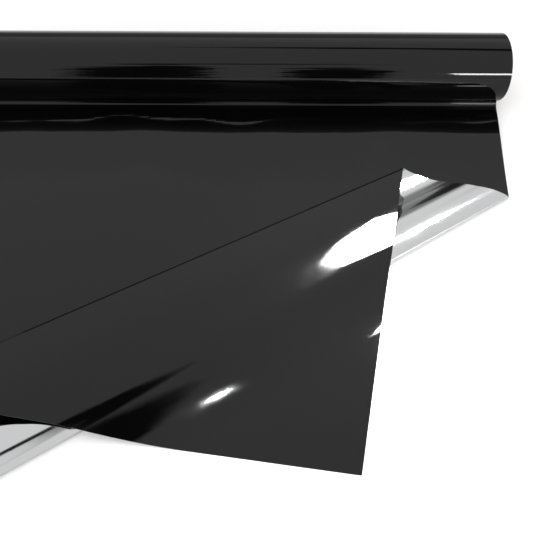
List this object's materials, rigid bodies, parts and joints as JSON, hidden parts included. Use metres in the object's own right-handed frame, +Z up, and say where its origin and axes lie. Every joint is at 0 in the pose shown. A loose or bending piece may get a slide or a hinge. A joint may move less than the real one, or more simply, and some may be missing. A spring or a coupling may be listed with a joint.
{
  "type": "roll of sign vinyl",
  "caption": "Glossy black sign vinyl on a silver liner, part unrolled from its core, its free end folded over on the skew so that both faces show.",
  "frame": {"origin": "centre of the whole part's footprint, on the surface it lies on", "axes": "+X along the roll, -Y from the roll towards the free end of the film, +Z up"},
  "size_m": [0.6912, 0.6266, 0.075],
  "materials": {
    "black_vinyl": "calendered PVC face film, high gloss, slightly wavy",
    "silver_liner": "bright metallised release liner, near mirror",
    "core_board": "spiral-wound kraft board, matte"
  },
  "bodies": {
    "web": {"outer_turn_face": "black_vinyl", "outer_turn_liner": "silver_liner", "foot_bend_face": "black_vinyl", "foot_bend_liner": "silver_liner", "laid_web_face": "black_vinyl", "laid_web_liner": "silver_liner", "lower_bend_face": "black_vinyl", "lower_bend_liner": "silver_liner"},
    "wound_roll": {"core_tube": "core_board", "wound_film": "black_vinyl"},
    "middle_layer": {"middle_layer_face": "black_vinyl", "middle_layer_liner": "silver_liner"},
    "upper_bend": {"upper_bend_face": "black_vinyl", "upper_bend_liner": "silver_liner"},
    "flap": {"flap_face": "black_vinyl", "flap_liner": "silver_liner"}
  },
  "joints": [
    {"name": "roll_spin", "type": "hinge", "parent": "web", "child": "wound_roll", "pos_m": [0.02963, 0.27578, 0.0375], "axis": [1, 0, 0], "continuous": true},
    {"name": "fold_open", "type": "hinge", "parent": "web", "child": "middle_layer", "pos_m": [-0.31837, -0.3001, 0.01735], "axis": [0.8319, 0.5548, -0.0091], "range_deg": [0, 75]},
    {"name": "bend_follow", "type": "hinge", "parent": "middle_layer", "child": "upper_bend", "pos_m": [-0.29915, -0.16779, 0.00718], "axis": [-0.8609, -0.5088, 0.0043], "range_deg": [0, 75]},
    {"name": "flap_lift", "type": "hinge", "parent": "upper_bend", "child": "flap", "pos_m": [-0.27715, -0.15859, 0.02166], "axis": [-0.86, -0.5102, 0.0116], "range_deg": [0, 100]}
  ],
  "couplings": [
    {"joint": "bend_follow", "follows": "fold_open", "ratio": 1}
  ]
}
